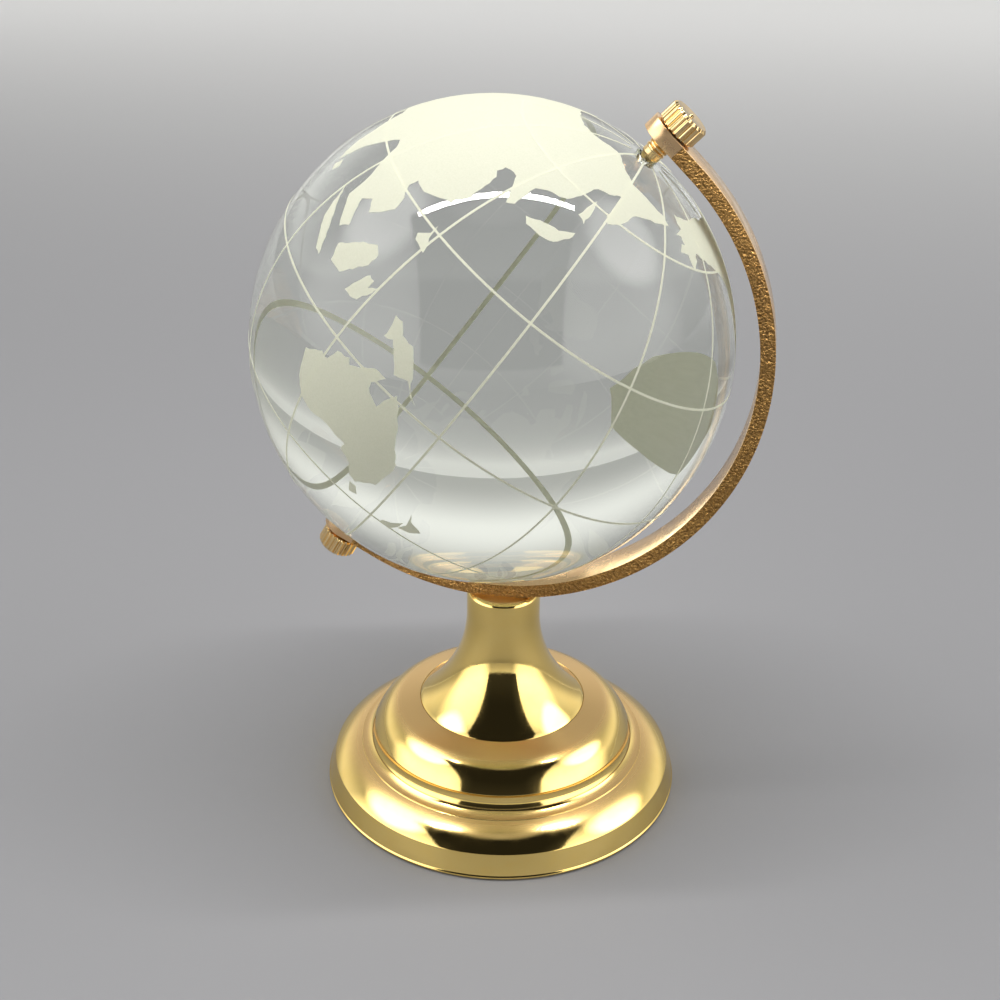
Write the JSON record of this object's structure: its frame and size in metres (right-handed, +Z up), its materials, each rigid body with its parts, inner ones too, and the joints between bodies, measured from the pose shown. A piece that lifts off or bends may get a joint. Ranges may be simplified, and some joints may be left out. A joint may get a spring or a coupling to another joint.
{
  "type": "desktop globe",
  "caption": "Desktop globe: a clear glass ball etched with continents, turning between knurled pole screws in a half-ring arm on a stepped gold pedestal base.",
  "frame": {"origin": "On the axis of the round base, at the face of the felt pad that the globe stands on.", "axes": "+Z is up. The half-ring arm lies in the XZ plane, and its upper end, with the north pole of the ball, leans towards +X."},
  "size_m": [0.0648, 0.06, 0.0949],
  "materials": {
    "clear_glass": "polished optical glass, faintly green",
    "etched_glass": "sandblasted glass, matt cream with a trace of green, nearly opaque",
    "aged_gold": "thin peach-gold plating on a sheared brass strip, smooth faces and rough brown edges",
    "screw_brass": "turned and knurled brass with pale gold plating",
    "polished_gold": "mirror-polished yellow gold plating, slightly matt on the flat tops",
    "zinc_steel": "zinc-plated steel",
    "black_felt": "dense black felt"
  },
  "bodies": {
    "stand": {"meridian_arm": "aged_gold", "stem": "polished_gold", "base_step": "polished_gold", "base_foot": "polished_gold", "tie_screw": "zinc_steel", "spring_washer": "zinc_steel", "flat_washer": "zinc_steel", "felt_pad": "black_felt"},
    "ball": {"glass_ball": "clear_glass"},
    "upper_stud": {"upper_screw_stud": "screw_brass"},
    "upper_head": {"upper_screw_head": "screw_brass"},
    "lower_stud": {"lower_screw_stud": "screw_brass"},
    "lower_head": {"lower_screw_head": "screw_brass"}
  },
  "joints": [
    {"name": "ball_spin", "type": "hinge", "parent": "stand", "child": "ball", "pos_m": [-0.00191, 0, 0.06439], "axis": [0.5948, 0, 0.8039], "continuous": true},
    {"name": "upper_screw_travel", "type": "slide", "parent": "stand", "child": "upper_stud", "axis": [0.6949, 0, 0.7191], "range_m": [0, 0.00225]},
    {"name": "upper_screw_turn", "type": "hinge", "parent": "upper_stud", "child": "upper_head", "pos_m": [0.01897, 0, 0.09144], "axis": [0.6949, 0, 0.7191], "range_deg": [0, 1800]},
    {"name": "lower_screw_travel", "type": "slide", "parent": "stand", "child": "lower_stud", "axis": [-0.4845, 0, -0.8748], "range_m": [0, 0.00225]},
    {"name": "lower_screw_turn", "type": "hinge", "parent": "lower_stud", "child": "lower_head", "pos_m": [-0.02197, 0, 0.03612], "axis": [-0.4845, 0, -0.8748], "range_deg": [0, 1800]}
  ],
  "couplings": [
    {"joint": "upper_screw_turn", "follows": "upper_screw_travel", "rad_per_m": 13963},
    {"joint": "lower_screw_turn", "follows": "lower_screw_travel", "rad_per_m": 13963}
  ]
}
